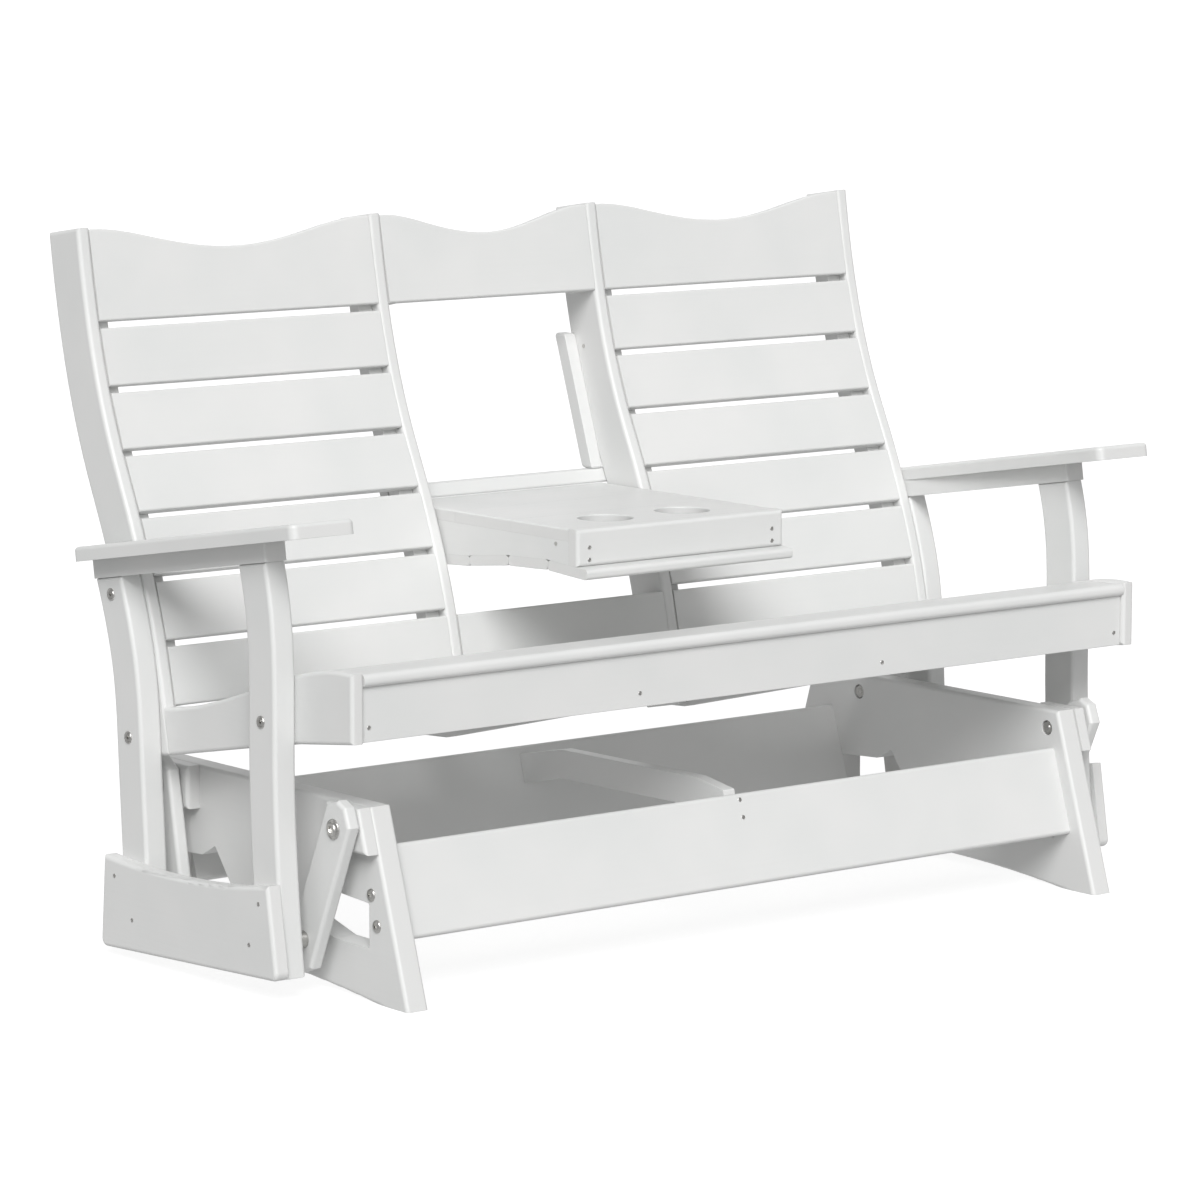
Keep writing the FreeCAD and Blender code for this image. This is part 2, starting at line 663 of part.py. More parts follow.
# Side boards tie each pair of arm posts at the bottom.
top_front, low_front = [V(0, lowers["front"].y + y, z) for y, z in SIDE_BOARD_FRONT]
low_rear, top_rear = [V(0, lowers["rear"].y + y, z) for y, z in SIDE_BOARD_REAR]
dip = (top_rear + top_front) * 0.5 - V(0, 0, SIDE_BOARD_DIP)
board_edges = poly_edges([top_front, low_front, low_rear, top_rear])
board_edges.append(Part.Arc(top_rear, dip, top_front).toShape())
side_board = pull(board_edges, ARM_OUT, ARM_OUT + BOARD_T)
board_middle = (low_front + top_front) * 0.5
side_board = rounded(side_board, ARM_CORNER_R, lambda e: along_x(e) and e.CenterOfMass.z < board_middle.z)
board_face = ARM_OUT + BOARD_T / 2
side_board = rounded(side_board, ROUND_R, lambda e: on_faces(e) and e.CenterOfMass.x > board_face)
add_pair("side_board", side_board)

# Base: two arched end frames with windows, two leaning rails and a raised brace.
top_half = PIVOT_INSET - FRONT_PIVOT_Y
slope = (BASE_HALF - top_half) / BASE_H
outline = poly_edges([(BASE_HALF - FOOT_L, 0), (BASE_HALF, 0), (top_half, BASE_H),
                      (-top_half, BASE_H), (-BASE_HALF, 0), (FOOT_L - BASE_HALF, 0)])
arch = Part.Arc(V(0, FOOT_L - BASE_HALF, 0), V(0, 0, ARCH_RISE), V(0, BASE_HALF - FOOT_L, 0))
outline.append(arch.toShape())
end_frame = pull(outline, FRAME_IN, FRAME_OUT)
windows = [[(FRONT_LEG_W - BASE_HALF + y, z) for y, z in WINDOW],
           [(BASE_HALF - REAR_LEG_W - y, z) for y, z in WINDOW]]
for corners in windows:
    end_frame = end_frame.cut(rounded(prism(corners, FRAME_IN, FRAME_OUT), EDGE_R, along_x))


def rail_board(front_low):
    """Corners of a base rail that leans like the front edge of the legs."""
    lean = V(0, slope, 1).normalize()
    return board_on(front_low, lean, BASE_RAIL_W, BOARD_T)


rail_y = BASE_RAIL_Z * slope - BASE_HALF + BASE_RAIL_SETBACK
rail_starts = [rail_y, BASE_HALF - REAR_RAIL_INSET]
rail_boards = [rail_board(V(0, y, BASE_RAIL_Z)) for y in rail_starts]
rails = [rounded(prism(c, -FRAME_IN, FRAME_IN), ROUND_R, along_x) for c in rail_boards]
bolt_points = []
for corners, drops in zip(rail_boards, RAIL_BOLT_DROPS):
    middle_low = (corners[0] + corners[3]) * 0.5
    lean = (corners[1] - corners[0]).normalize()
    bolt_points += [middle_low + lean * (BASE_RAIL_W - d) for d in drops]
bolt_points = [(p.y, p.z) for p in bolt_points]
rail_bolt_in = FRAME_IN - HEAVY_T
rails = [drilled(r, FRAME_BOLT_R, rail_bolt_in, FRAME_IN, bolt_points) for r in rails]
rails = [drilled(r, FRAME_BOLT_R, -FRAME_IN, -rail_bolt_in, bolt_points) for r in rails]
rail_bolts = []
for y, z in bolt_points:
    rail_bolts.append(frame_bolt(rail_bolt_in, FRAME_OUT, y, z))
end_frame = drilled(end_frame, FRAME_BOLT_R, FRAME_IN, FRAME_OUT, bolt_points)


def face_point(low, high, z):
    """Point on a leaning face at this height."""
    return low + (high - low) * ((z - low.z) / (high.z - low.z))


brace_front_z = BRACE_LINE[0][1] - BRACE_END_DROP / 2
brace_rear_z = BRACE_LINE[1][1] - BRACE_END_DROP
front_face = rail_boards[0][3], rail_boards[0][2]
rear_face = rail_boards[1][0], rail_boards[1][1]
brace_top = [face_point(*front_face, brace_front_z), V(0, *BRACE_LINE[0]), V(0, *BRACE_LINE[1]),
             face_point(*rear_face, brace_rear_z)]
brace_low = [face_point(*rear_face, brace_rear_z - BRACE_H), brace_top[2] - V(0, 0, BRACE_H),
             brace_top[1] - V(0, 0, BRACE_H), face_point(*front_face, brace_front_z - BRACE_H)]
brace = prism(brace_top + brace_low, -BOARD_T / 2, BOARD_T / 2)

# Linkage: four links hang from the base and carry the seat at their lower ends.
upper_bolts, upper_nuts, upper_washers = [], [], []
lower_bolts, lower_nuts, lower_sleeves = [], [], []
posts = {"front": front_post, "rear": rear_post}
for end in ("front", "rear"):
    top = uppers[end]
    low = lowers[end]
    down = link_ways[end]
    across = rearward(down) * -1
    half = LINK_W / 2
    link_low = LINK_L + LINK_LOW_END
    shape = [(half - LINK_CORNER, -LINK_TOP_END), (half, LINK_CORNER - LINK_TOP_END),
             (half, link_low - LINK_CORNER), (half - LINK_CORNER, link_low)]
    corners = [top + across * a + down * d for a, d in shape]
    corners += [top - across * a + down * d for a, d in shape[::-1]]
    link = rounded(prism(corners, LINK_IN, LINK_OUT), ROUND_R, on_faces)
    link = drilled(link, BUSHING_R, LINK_IN, LINK_OUT, [(top.y, top.z), (low.y, low.z)])
    low_bore = BOLT_R + (RUNNING if end == "front" else OPEN_PIVOT)
    bushings = [ring(BUSHING_R, BOLT_R + RUNNING, LINK_IN, LINK_OUT, top.y, top.z),
                ring(BUSHING_R, low_bore, LINK_IN, LINK_OUT, low.y, low.z)]
    add(end + "_right_link", link)
    add(end + "_left_link", mirrored(link))
    add(end + "_right_bushings", *bushings)
    add(end + "_left_bushings", *[mirrored(b) for b in bushings])

    head_seat = LINK_OUT + SIDE_PLAY
    pocket_floor = FRAME_IN + NUT_POCKET_D
    upper_bolts.append(flange_bolt(FRAME_IN + SIDE_PLAY, head_seat, top.y, top.z))
    upper_nuts.append(nut(pocket_floor - NUT_T, pocket_floor, top.y, top.z))
    upper_washers.append(ring(HEAD_R, BOLT_R, BLOCK_OUT, BLOCK_OUT + WASHER_T, top.y, top.z))
    end_frame = drilled(end_frame, BOLT_R, FRAME_IN, FRAME_OUT, [(top.y, top.z)])
    end_frame = drilled(end_frame, NUT_POCKET_R, FRAME_IN, pocket_floor, [(top.y, top.z)])

    head_seat = LINK_IN - SIDE_PLAY
    pocket_floor = ARM_OUT - NUT_POCKET_D
    lower_bolts.append(flange_bolt(ARM_OUT - SIDE_PLAY, head_seat, low.y, low.z))
    lower_nuts.append(nut(pocket_floor, pocket_floor + NUT_T, low.y, low.z))
    lower_sleeves.append(ring(BUSHING_R, BOLT_R, LINK_OUT + SIDE_PLAY, ARM_IN, low.y, low.z))
    posts[end] = drilled(posts[end], BOLT_R, ARM_IN, ARM_OUT, [(low.y, low.z)])
    posts[end] = drilled(posts[end], NUT_POCKET_R, pocket_floor, ARM_OUT, [(low.y, low.z)])

block_low = BASE_H - BLOCK_H
leg_front = {z: z * slope - BASE_HALF for z in (block_low, BASE_H)}
for end, top in uppers.items():
    fronts = {z: leg_front[z] if end == "front" else top.y - BLOCK_FRONT for z in leg_front}
    block = prism([(fronts[BASE_H], BASE_H), (fronts[block_low], block_low), (top.y + BLOCK_REAR, block_low),
                   (top.y + BLOCK_REAR, BASE_H)], FRAME_OUT, BLOCK_OUT)
    block = rounded(block, ROUND_R, lambda e: on_faces(e) and e.CenterOfMass.x > (FRAME_OUT + BLOCK_OUT) / 2)
    block = drilled(block, BOLT_R, FRAME_OUT, BLOCK_OUT, [(top.y, top.z)])
    add("pivot_blocks_" + end, *both([block]))

end_frame = rounded(end_frame, ROUND_R, lambda e: on_faces(e) and not e.Closed
                    and e.CenterOfMass.z > EDGE_R and e.Length > BASE_H / 2)
add_pair("base_end", end_frame)
add("base_front_rail", rails[0])
add("base_rear_rail", rails[1])
add("base_center_brace", brace)
add("base_rail_bolts", *both(rail_bolts))
add("upper_pivot_bolts", *both(upper_bolts))
add("upper_pivot_nuts", *both(upper_nuts))
add("upper_pivot_washers", *both(upper_washers))
add("lower_pivot_bolts", *both(lower_bolts))
add("lower_pivot_nuts", *both(lower_nuts))
add("lower_pivot_sleeves", *both(lower_sleeves))

# Carriage bolts tie the arm posts to the back posts and seat rails.
arm_bolts = [frame_bolt(SEAT_HALF, ARM_OUT, y, z) for y, z in rear_bolts + front_bolts]
posts["rear"] = drilled(posts["rear"], FRAME_BOLT_R, ARM_IN, ARM_OUT, rear_bolts)
posts["front"] = drilled(posts["front"], FRAME_BOLT_R, ARM_IN, ARM_OUT, front_bolts)
add_pair("arm_post_front", posts["front"])
add_pair("arm_post_rear", posts["rear"])
add("arm_post_bolts", *both(arm_bolts))

# The origin is moved to the middle of the outside box, at floor level.
ys = [v.Y for shape in nodes.values() for v in shape.Vertexes]
center_y = (min(ys) + max(ys)) / 2
os.makedirs("parts", exist_ok=True)
for name, shape in nodes.items():
    shape.translate(V(0, -center_y, 0))
    shape.exportStep("parts/" + name + ".step")
print("nodes", len(nodes), "moved back by", round(center_y, 3))
for end in ("front", "rear"):
    pair = [(round(p.y - center_y, 3), round(p.z, 3)) for p in (uppers[end], lowers[end])]
    print(end, "pivots y z", pair)
print("table hinge y z", round(hinge.y - center_y, 3), round(hinge.z, 3), "top", round(table_top, 3),
      "cups y", round(cup_y - center_y, 3))
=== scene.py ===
# %% [markdown]
# # A glider bench in white plastic lumber
# This bench is bolted together from white plastic boards. Its seat hangs on four links from a floor
# base, and a table with two cup holes is hinged in the middle of its back. The solids of all the boards,
# bolts and links already exist at their real size, so this lesson only dresses them: it gives each
# surface its finish, adds the small fasteners, and sets up the floor, the lights and the camera.

# %% Load the frame
import json
import math

import bmesh
import bpy
from mathutils import Matrix, Vector

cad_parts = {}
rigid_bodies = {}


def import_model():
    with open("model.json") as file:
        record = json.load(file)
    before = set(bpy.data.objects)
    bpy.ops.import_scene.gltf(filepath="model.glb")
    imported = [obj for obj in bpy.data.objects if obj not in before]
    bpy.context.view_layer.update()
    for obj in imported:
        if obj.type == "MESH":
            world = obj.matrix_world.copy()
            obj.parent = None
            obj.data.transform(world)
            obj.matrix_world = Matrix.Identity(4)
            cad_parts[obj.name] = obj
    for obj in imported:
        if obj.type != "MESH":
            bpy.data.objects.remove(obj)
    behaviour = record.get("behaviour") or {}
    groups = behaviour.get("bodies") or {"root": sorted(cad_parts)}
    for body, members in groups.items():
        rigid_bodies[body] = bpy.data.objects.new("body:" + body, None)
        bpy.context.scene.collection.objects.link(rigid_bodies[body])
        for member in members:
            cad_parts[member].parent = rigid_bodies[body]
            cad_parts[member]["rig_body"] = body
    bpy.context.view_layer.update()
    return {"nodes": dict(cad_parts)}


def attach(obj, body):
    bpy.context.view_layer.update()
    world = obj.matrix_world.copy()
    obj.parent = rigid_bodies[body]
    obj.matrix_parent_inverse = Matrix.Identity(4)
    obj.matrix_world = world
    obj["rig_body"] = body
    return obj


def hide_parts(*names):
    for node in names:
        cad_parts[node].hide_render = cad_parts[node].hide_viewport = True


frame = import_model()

MM = 0.001
nodes = frame["nodes"]

# %% [markdown]
# ## Two helpers
# Colours are easiest to read as the hex codes of a paint chart, but a renderer works with linear light,
# so one function turns the one into the other. A second function adds a shader node with its settings
# and its links in one line. With these two, a material reads like a list of what makes up its surface.

# %% Colour and node helpers
def linear(code):
    """Linear colour of an sRGB hex code such as "#DBDBDA"."""
    parts = [int(code[i:i + 2], 16) / 255 for i in (1, 3, 5)]
    return [p / 12.92 if p <= 0.04045 else ((p + 0.055) / 1.055) ** 2.4 for p in parts] + [1.0]


def add_node(tree, kind, inputs, **settings):
    """Add a shader node with its settings, and a value or a link on each of the inputs."""
    node = tree.nodes.new("ShaderNode" + kind)
    for name, value in settings.items():
        setattr(node, name, value)
    for socket, value in inputs.items():
        if isinstance(value, bpy.types.NodeSocket):
            tree.links.new(value, node.inputs[socket])
        else:
            node.inputs[socket].default_value = value
    return node


# A Mix node has one pair of inputs for numbers and another for colours, with the same names, so they
# are picked by their places.
FACTOR = 0
NUMBER_A = 2
NUMBER_B = 3
COLOUR_A = 6
COLOUR_B = 7
COLOUR_OUT = 2
print("white board, linear:", [round(v, 3) for v in linear("#DBDBDA")])

# %% [markdown]
# ## Extruded polyethylene lumber
# The boards are high-density polyethylene. It is melted, pushed through a die and cooled in long
# planks, so the skin has faint lines along the plank, a fine leathery grain and a satin gloss. The
# planks are then sawn and routed, which leaves the cut ends duller and the eased edges a little smoother.
# A picture of the grain would stretch round each board's ends, so the pattern is worked out from
# every point's place in the board, once for each way that a plank can run.

# %% Sizes, tones and gloss of the lumber's skin
DIE_LINE_LENGTH = 420 * MM
DIE_LINE_WIDTH = 7 * MM
DIE_LINE_DEPTH = 0.16 * MM
CLOUD_SIZE = 160 * MM
# The real skin's grain is about 0.4 mm across, too fine to show here, so it is drawn coarser.
GRAIN_SIZE = 1.6 * MM
GRAIN_DEPTH = 0.035 * MM
EASED_EDGE = 0.9 * MM
SAW_MARK_SIZE = 2.5 * MM
LUMBER_IOR = 1.54
WHITES = ("#DBDBDA", "#D6D7D6")
SAWN_WHITE = "#D5D5D4"
SATIN = (0.3, 0.45)
SAWN_ROUGHNESS = 0.58
EDGE_ROUGHNESS = 0.26
LINE_DETAIL = 4
CLOUD_RANGE = (0.3, 0.7)
SAWN_RANGE = (0.9, 0.98)
EDGE_RANGE = (0.995, 0.85)
EDGE_SAMPLES = 6
print("die lines per metre of width:", round(1 / DIE_LINE_WIDTH))


# %% The lumber's material
def extruded_polyethylene(grain):
    """White polyethylene lumber with its die lines along one axis."""
    material = bpy.data.materials.new("extruded_polyethylene_" + grain.lower())
    material.use_nodes = True
    tree = material.node_tree
    skin = tree.nodes["Principled BSDF"]
    skin.inputs["IOR"].default_value = LUMBER_IOR
    place = add_node(tree, "TexCoord", {}).outputs
    stretch = [1 / DIE_LINE_WIDTH] * 3
    stretch["XYZ".index(grain)] = 1 / DIE_LINE_LENGTH
    along = add_node(tree, "Mapping", {"Vector": place["Object"], "Scale": stretch}).outputs[0]
    lines = add_node(tree, "TexNoise", {"Vector": along, "Scale": 1, "Detail": LINE_DETAIL}).outputs[0]
    clouds = add_node(tree, "TexNoise", {"Vector": place["Object"], "Scale": 1 / CLOUD_SIZE}).outputs[0]
    pores = add_node(tree, "TexNoise", {"Vector": place["Object"], "Scale": 1 / GRAIN_SIZE}).outputs[0]
    marks = add_node(tree, "TexNoise", {"Vector": place["Object"], "Scale": 1 / SAW_MARK_SIZE}).outputs[0]

    # A face that looks along the plank is a sawn end.
    facing = add_node(tree, "SeparateXYZ", {"Vector": place["Normal"]}).outputs[grain]
    square = add_node(tree, "Math", {0: facing}, operation="ABSOLUTE").outputs[0]
    sawn = add_node(tree, "MapRange", {"Value": square, "From Min": SAWN_RANGE[0],
                                       "From Max": SAWN_RANGE[1]}).outputs[0]

    # An edge is where the normal of the eased corner turns away from the face.
    eased = add_node(tree, "Bevel", {"Radius": EASED_EDGE}, samples=EDGE_SAMPLES).outputs[0]
    flat = add_node(tree, "NewGeometry", {}).outputs["Normal"]
    turn = add_node(tree, "VectorMath", {0: eased, 1: flat}, operation="DOT_PRODUCT").outputs["Value"]
    edge = add_node(tree, "MapRange", {"Value": turn, "From Min": EDGE_RANGE[0],
                                       "From Max": EDGE_RANGE[1]}).outputs[0]

    # Clouds drift between two whites, and a sawn end has its own.
    tone = add_node(tree, "MapRange", {"Value": clouds, "From Min": CLOUD_RANGE[0],
                                       "From Max": CLOUD_RANGE[1]}).outputs[0]
    whites = {FACTOR: tone, COLOUR_A: linear(WHITES[0]), COLOUR_B: linear(WHITES[1])}
    white = add_node(tree, "Mix", whites, data_type="RGBA").outputs[COLOUR_OUT]
    ends = {FACTOR: sawn, COLOUR_A: white, COLOUR_B: linear(SAWN_WHITE)}
    cut = add_node(tree, "Mix", ends, data_type="RGBA").outputs[COLOUR_OUT]

    # The skin is satin, its sawn ends are duller and its edges smoother.
    satin = add_node(tree, "MapRange", {"Value": lines, "To Min": SATIN[0], "To Max": SATIN[1]}).outputs[0]
    dull = add_node(tree, "Mix", {FACTOR: sawn, NUMBER_A: satin, NUMBER_B: SAWN_ROUGHNESS}).outputs[0]
    gloss = add_node(tree, "Mix", {FACTOR: edge, NUMBER_A: dull, NUMBER_B: EDGE_ROUGHNESS}).outputs[0]

    # Die lines, leathery grain and saw marks are laid over each other as relief.
    wavy = add_node(tree, "Bump", {"Height": lines, "Distance": DIE_LINE_DEPTH, "Normal": eased}).outputs[0]
    leather = add_node(tree, "Bump", {"Height": pores, "Distance": GRAIN_DEPTH, "Normal": wavy}).outputs[0]
    rough = add_node(tree, "Bump", {"Height": marks, "Distance": GRAIN_DEPTH, "Strength": sawn,
                                    "Normal": leather}).outputs[0]
    tree.links.new(cut, skin.inputs["Base Color"])
    tree.links.new(gloss, skin.inputs["Roughness"])
    tree.links.new(rough, skin.inputs["Normal"])
    return material


# The extruded skin is an even soft white from afar, with faint streaks along the plank from close by.
lumber = {grain: extruded_polyethylene(grain) for grain in "XYZ"}
print("lumber:", [material.name for material in lumber.values()])

# %% [markdown]
# ## Which way each plank runs
# A maker cuts long pieces along the plank, so the die lines follow the longest way of each board: slats
# and rails run across the bench, arms and seat rails run front to back, posts and links stand up. The
# names of the pieces say which they are, so each list below holds only the start of a name.

# %% Give every board its lumber
PLANKS = {
    "X": ["back_slats", "back_center", "back_top", "base_front", "base_rear", "console_bottom",
          "console_cup", "console_front", "console_stop_rail", "console_top", "seat_front", "seat_nosing",
          "seat_slats"],
    "Y": ["armrest", "arm_cleats", "side_board", "base_end", "base_center", "console_side", "seat_rail",
          "seat_cleats", "pivot_blocks"],
    "Z": ["arm_post_front", "arm_post_rear", "back_post", "back_cleats", "console_stop_cleats",
          "front_left_link", "front_right_link", "rear_left_link", "rear_right_link"],
}


def dress(piece, material):
    """Give a whole piece one material."""
    piece.data.materials.clear()
    piece.data.materials.append(material)


boards = {}
for grain, starts in PLANKS.items():
    for name in nodes:
        if name.startswith(tuple(starts)):
            boards[name] = grain
            dress(nodes[name], lumber[grain])
print("boards dressed:", len(boards))

# %% [markdown]
# ## Steel, nylon and painted recess shade
# The bolts are stainless steel, headed cold between dies and then tumbled, which leaves a soft grey shine
# with fine scratches, and their drive recesses are painted a dull dark grey as shade. The bushings in the
# links are black moulded nylon, dull and faintly pebbled. Each needs only two tones, a range of gloss and a
# little relief, so one function makes all three.

# %% Materials of the hardware
SCRATCH_SIZE = 0.9 * MM
SCRATCH_DEPTH = 0.02 * MM
PEBBLE_SIZE = 1.2 * MM
PEBBLE_DEPTH = 0.05 * MM
SPOT_DETAIL = 5


def two_toned(name, tones, spot, gloss, depth, **constants):
    """A material that drifts between two tones and two grades of roughness in spots of one size."""
    material = bpy.data.materials.new(name)
    material.use_nodes = True
    tree = material.node_tree
    shader = tree.nodes["Principled BSDF"]
    for socket, value in constants.items():
        shader.inputs[socket.replace("_", " ")].default_value = value
    place = add_node(tree, "TexCoord", {}).outputs["Object"]
    pattern = {"Vector": place, "Scale": 1 / spot, "Detail": SPOT_DETAIL}
    spots = add_node(tree, "TexNoise", pattern).outputs[0]
    drift = {FACTOR: spots, COLOUR_A: linear(tones[0]), COLOUR_B: linear(tones[1])}
    colour = add_node(tree, "Mix", drift, data_type="RGBA")
    rough = add_node(tree, "MapRange", {"Value": spots, "To Min": gloss[0], "To Max": gloss[1]})
    relief = add_node(tree, "Bump", {"Height": spots, "Distance": depth})
    tree.links.new(colour.outputs[COLOUR_OUT], shader.inputs["Base Color"])
    tree.links.new(rough.outputs[0], shader.inputs["Roughness"])
    tree.links.new(relief.outputs[0], shader.inputs["Normal"])
    return material


# Tumbled steel mirrors the room softly, so it shows as grey with small bright spots.
steel = two_toned("cold_headed_stainless", ("#CFCECB", "#BAB9B6"), SCRATCH_SIZE, (0.2, 0.38), SCRATCH_DEPTH,
                  Metallic=1.0)
# Moulded nylon is nearly black, and only its pebbles catch the light.
nylon = two_toned("moulded_black_nylon", ("#1D1D1F", "#29292B"), PEBBLE_SIZE, (0.42, 0.6), PEBBLE_DEPTH,
                  IOR=1.53)
# Wax with steel dust in it makes each recess a dull dark spot.
# Each drive recess is painted a dull dark grey that stands in for the shade inside it.
painted_recess_shade = two_toned("painted_shade_in_recess", ("#4A4A48", "#5C5C5A"), SCRATCH_SIZE, (0.5, 0.7), SCRATCH_DEPTH,
                IOR=1.45)
for name in nodes:
    if name not in boards:
        dress(nodes[name], nylon if "bushings" in name else steel)
print("hardware dressed:", len(nodes) - len(boards))

# %% [markdown]
# ## Eased edges
# A routed board never has a razor edge: the maker runs a small round along it. The boards that people
# touch already have one in their solids. The plain boards behind and below them get a narrow bevel
# here, and the table's stop cleats a wider one, after the solid's split corners are welded, because a
# bevel needs faces that share an edge.

# %% Bevel the plain boards
EASED = 1.2 * MM
WELL_ROUNDED = 5 * MM
PLAIN_BOARDS = {"seat_front_skirt": EASED, "seat_rails_inner": EASED, "seat_cleats": EASED,
                "back_cleats": EASED, "base_center_brace": EASED, "console_stop_cleats": WELL_ROUNDED}
SHARP = math.radians(40)
CORNER_SPLIT = 0.01 * MM
BEVEL_STEPS = 4
for name, width in PLAIN_BOARDS.items():
    weld = nodes[name].modifiers.new("joined_corners", "WELD")
    weld.merge_threshold = CORNER_SPLIT
    bevel = nodes[name].modifiers.new("eased_edges", "BEVEL")
    bevel.width = width
    bevel.segments = BEVEL_STEPS
    bevel.limit_method = "ANGLE"
    bevel.angle_limit = SHARP
    bevel.harden_normals = True
print("boards bevelled:", len(PLAIN_BOARDS))

# %% [markdown]
# ## Turned bolt heads
# A bolt head is a round form with a hexagon in it, so it can be turned like wood on a lathe: a list of
# rings, each with a radius and a height, joined by faces. A ring may also be a polygon, which makes the
# socket. The solids hold plain bolts, so the turned ones take their place, with the position of each
# bolt read from its own solid.

# %% A lathe for fasteners
BOLT_STEPS = 48
RECESS_RINGS = 2


def ring_radius(radius, sides, turn):
    """Radius at one turn of a ring, which is round or a polygon."""
    if not sides:
        return radius
    part = 2 * math.pi / sides
    return radius / math.cos(turn % part - part / 2)


def turned(name, rings, places, body, steps=BOLT_STEPS):
    """One mesh of like turned pieces: rings in millimetres along an axis that points out of the board.

    The last rings are the drive recess, which is painted dark as shade.
    """
    mesh = bpy.data.meshes.new(name)
    shape = bmesh.new()
    turns = [2 * math.pi * i / steps for i in range(steps)]
    for point, outward in places:
        spin = Matrix.Translation(point) @ outward.to_track_quat("Z", "Y").to_matrix().to_4x4()
        loops = []
        for radius, height, *polygon in rings:
            sides = polygon[0] if polygon else 0
            reach = [ring_radius(radius, sides, t) for t in turns]
            corners = [Vector((r * math.cos(t), r * math.sin(t), height)) * MM for r, t in zip(reach, turns)]
            loops.append([shape.verts.new(spin @ corner) for corner in corners])
        for step, (low, high) in enumerate(zip(loops, loops[1:])):
            for i in range(steps):
                j = (i + 1) % steps
                face = shape.faces.new((low[i], low[j], high[j], high[i]))
                face.material_index = int(step >= len(rings) - 1 - RECESS_RINGS)
        shape.faces.new(loops[0][::-1])
        shape.faces.new(loops[-1]).material_index = 1
    shape.to_mesh(mesh)
    shape.free()
    mesh.shade_smooth()
    mesh.set_sharp_from_angle(angle=SHARP)
    piece = bpy.data.objects.new(name, mesh)
    bpy.context.scene.collection.objects.link(piece)
    dress(piece, steel)
    # The recess faces take this second slot, a dark grey painted as shade.
    mesh.materials.append(painted_recess_shade)
    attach(piece, body)
    return piece


print("corner of a socket for a 10 mm key:", round(ring_radius(5, 6, 0), 2), "mm from its middle")


# %% Find each bolt in its group
def separate_boxes(name):
    """Lowest and highest corner of each separate solid in a group."""
    joined = bmesh.new()
    joined.from_mesh(nodes[name].data)
    bmesh.ops.remove_doubles(joined, verts=joined.verts, dist=CORNER_SPLIT)
    waiting = set(joined.verts)
    boxes = []
    while waiting:
        group = {waiting.pop()}
        edge_of_group = list(group)
        while edge_of_group:
            vert = edge_of_group.pop()
            nearby = {edge.other_vert(vert) for edge in vert.link_edges} & waiting
            waiting -= nearby
            group |= nearby
            edge_of_group += nearby
        columns = list(zip(*[v.co for v in group]))
        boxes.append((Vector([min(c) for c in columns]), Vector([max(c) for c in columns])))
    joined.free()
    return sorted(boxes, key=lambda pair: tuple(pair[0]))


def bolt_seats(name, head, outside):
    """Seat point and outward direction of each bolt in a group, and the length of its shank."""
    seats = []
    for low, high in separate_boxes(name):
        side = 1 if low.x > 0 else -1
        way = side if outside else -side
        top = high.x if way > 0 else low.x
        middle = (low + high) / 2
        seats.append((Vector((top - way * head * MM, middle.y, middle.z)), Vector((way, 0, 0))))
    return seats, (high.x - low.x) / MM - head


print("bolts in the arm posts:", len(separate_boxes("arm_post_bolts")))

# %% Turn the bolts
# Each ring of a head has a radius and a height, and a polygon also has its number of sides.
CONNECTOR = [(15, 0), (15, 1.2), (14.3, 2.2), (12.2, 3), (10.6, 3), (10, 3.5), (9.7, 4.8), (9, 5.5),
             (6.3, 5.5), (5, 5.3, 6), (4.8, 3, 6), (0.5, 2.8)]
CUP_WASHER = [(9.5, 0), (9.5, 0.6), (9.1, 1.5), (8.4, 2), (7.6, 1.8), (6.5, 0.9), (6.1, 0.5), (5.8, 1),
              (5.2, 1.3), (2.6, 1.3, 6), (2.5, -1.8, 6), (0.4, -2.2)]
BUTTON_HEAD = [(9.5, 0), (9.4, 1), (8.5, 2.3), (6.6, 3.4), (4.4, 3.9), (2.8, 3.9, 6), (2.7, 1, 6),
               (0.4, 0.7)]
TIP = 0.8
# Each group of bolts has a form and a height of head, a radius of shank, and its heads outside or inside.
BOLTS = [("upper_pivot_bolts", CONNECTOR, 5.5, 6, True), ("lower_pivot_bolts", CONNECTOR, 5.5, 6, False),
         ("arm_post_bolts", CUP_WASHER, 4, 4, True), ("base_rail_bolts", BUTTON_HEAD, 4, 4, True)]
for name, head_rings, head, shank_radius, outside in BOLTS:
    seats, shank = bolt_seats(name, head, outside)
    shank_rings = [(shank_radius - TIP, -shank), (shank_radius, TIP - shank), (shank_radius, 0)]
    body = nodes[name]["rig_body"]
    piece = turned("turned_" + name, shank_rings + head_rings, seats, body)
    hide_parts(name)
    print(piece.name, len(seats), "on", body)

# %% [markdown]
# ## Screws in the boards
# Thin boards are held by stainless screws with a square drive, driven until only the top of the head
# shows.
# Each screw is placed as a fitter would: a line is drawn at the board and the head is set where the
# line meets the surface, square to it. So a screw stays on its board if the board is changed.

# %% Set a screw on a surface
SCREW = [(3, -1.2), (3.4, -0.2), (3.4, 0.2), (3.1, 0.5), (2.6, 0.55), (2, 0.5, 4), (1.9, 0.12, 4),
         (0.3, 0.08)]
SCREW_STEPS = 24
# Lines at a board from outside start this far away, in metres.
FAR = 2.0
bpy.context.view_layer.update()


def on_surface(name, start, direction):
    """Where a line first meets a board, and the way that its surface faces there."""
    found, point, normal, _ = nodes[name].ray_cast(Vector(start), Vector(direction))
    if not found:
        raise ValueError("no surface on " + name)
    return point, normal


def from_front(name, x, z):
    """Place on the front of a board, from millimetres across and up."""
    return on_surface(name, (x * MM, -FAR, z * MM), (0, 1, 0))


def from_rear(name, x, z):
    """Place on the rear of a board, from millimetres across and up."""
    return on_surface(name, (x * MM, FAR, z * MM), (0, -1, 0))


def from_side(name, side, y, z):
    """Place on the outer side of a board, from millimetres back and up."""
    return on_surface(name, (side * FAR, y * MM, z * MM), (-side, 0, 0))


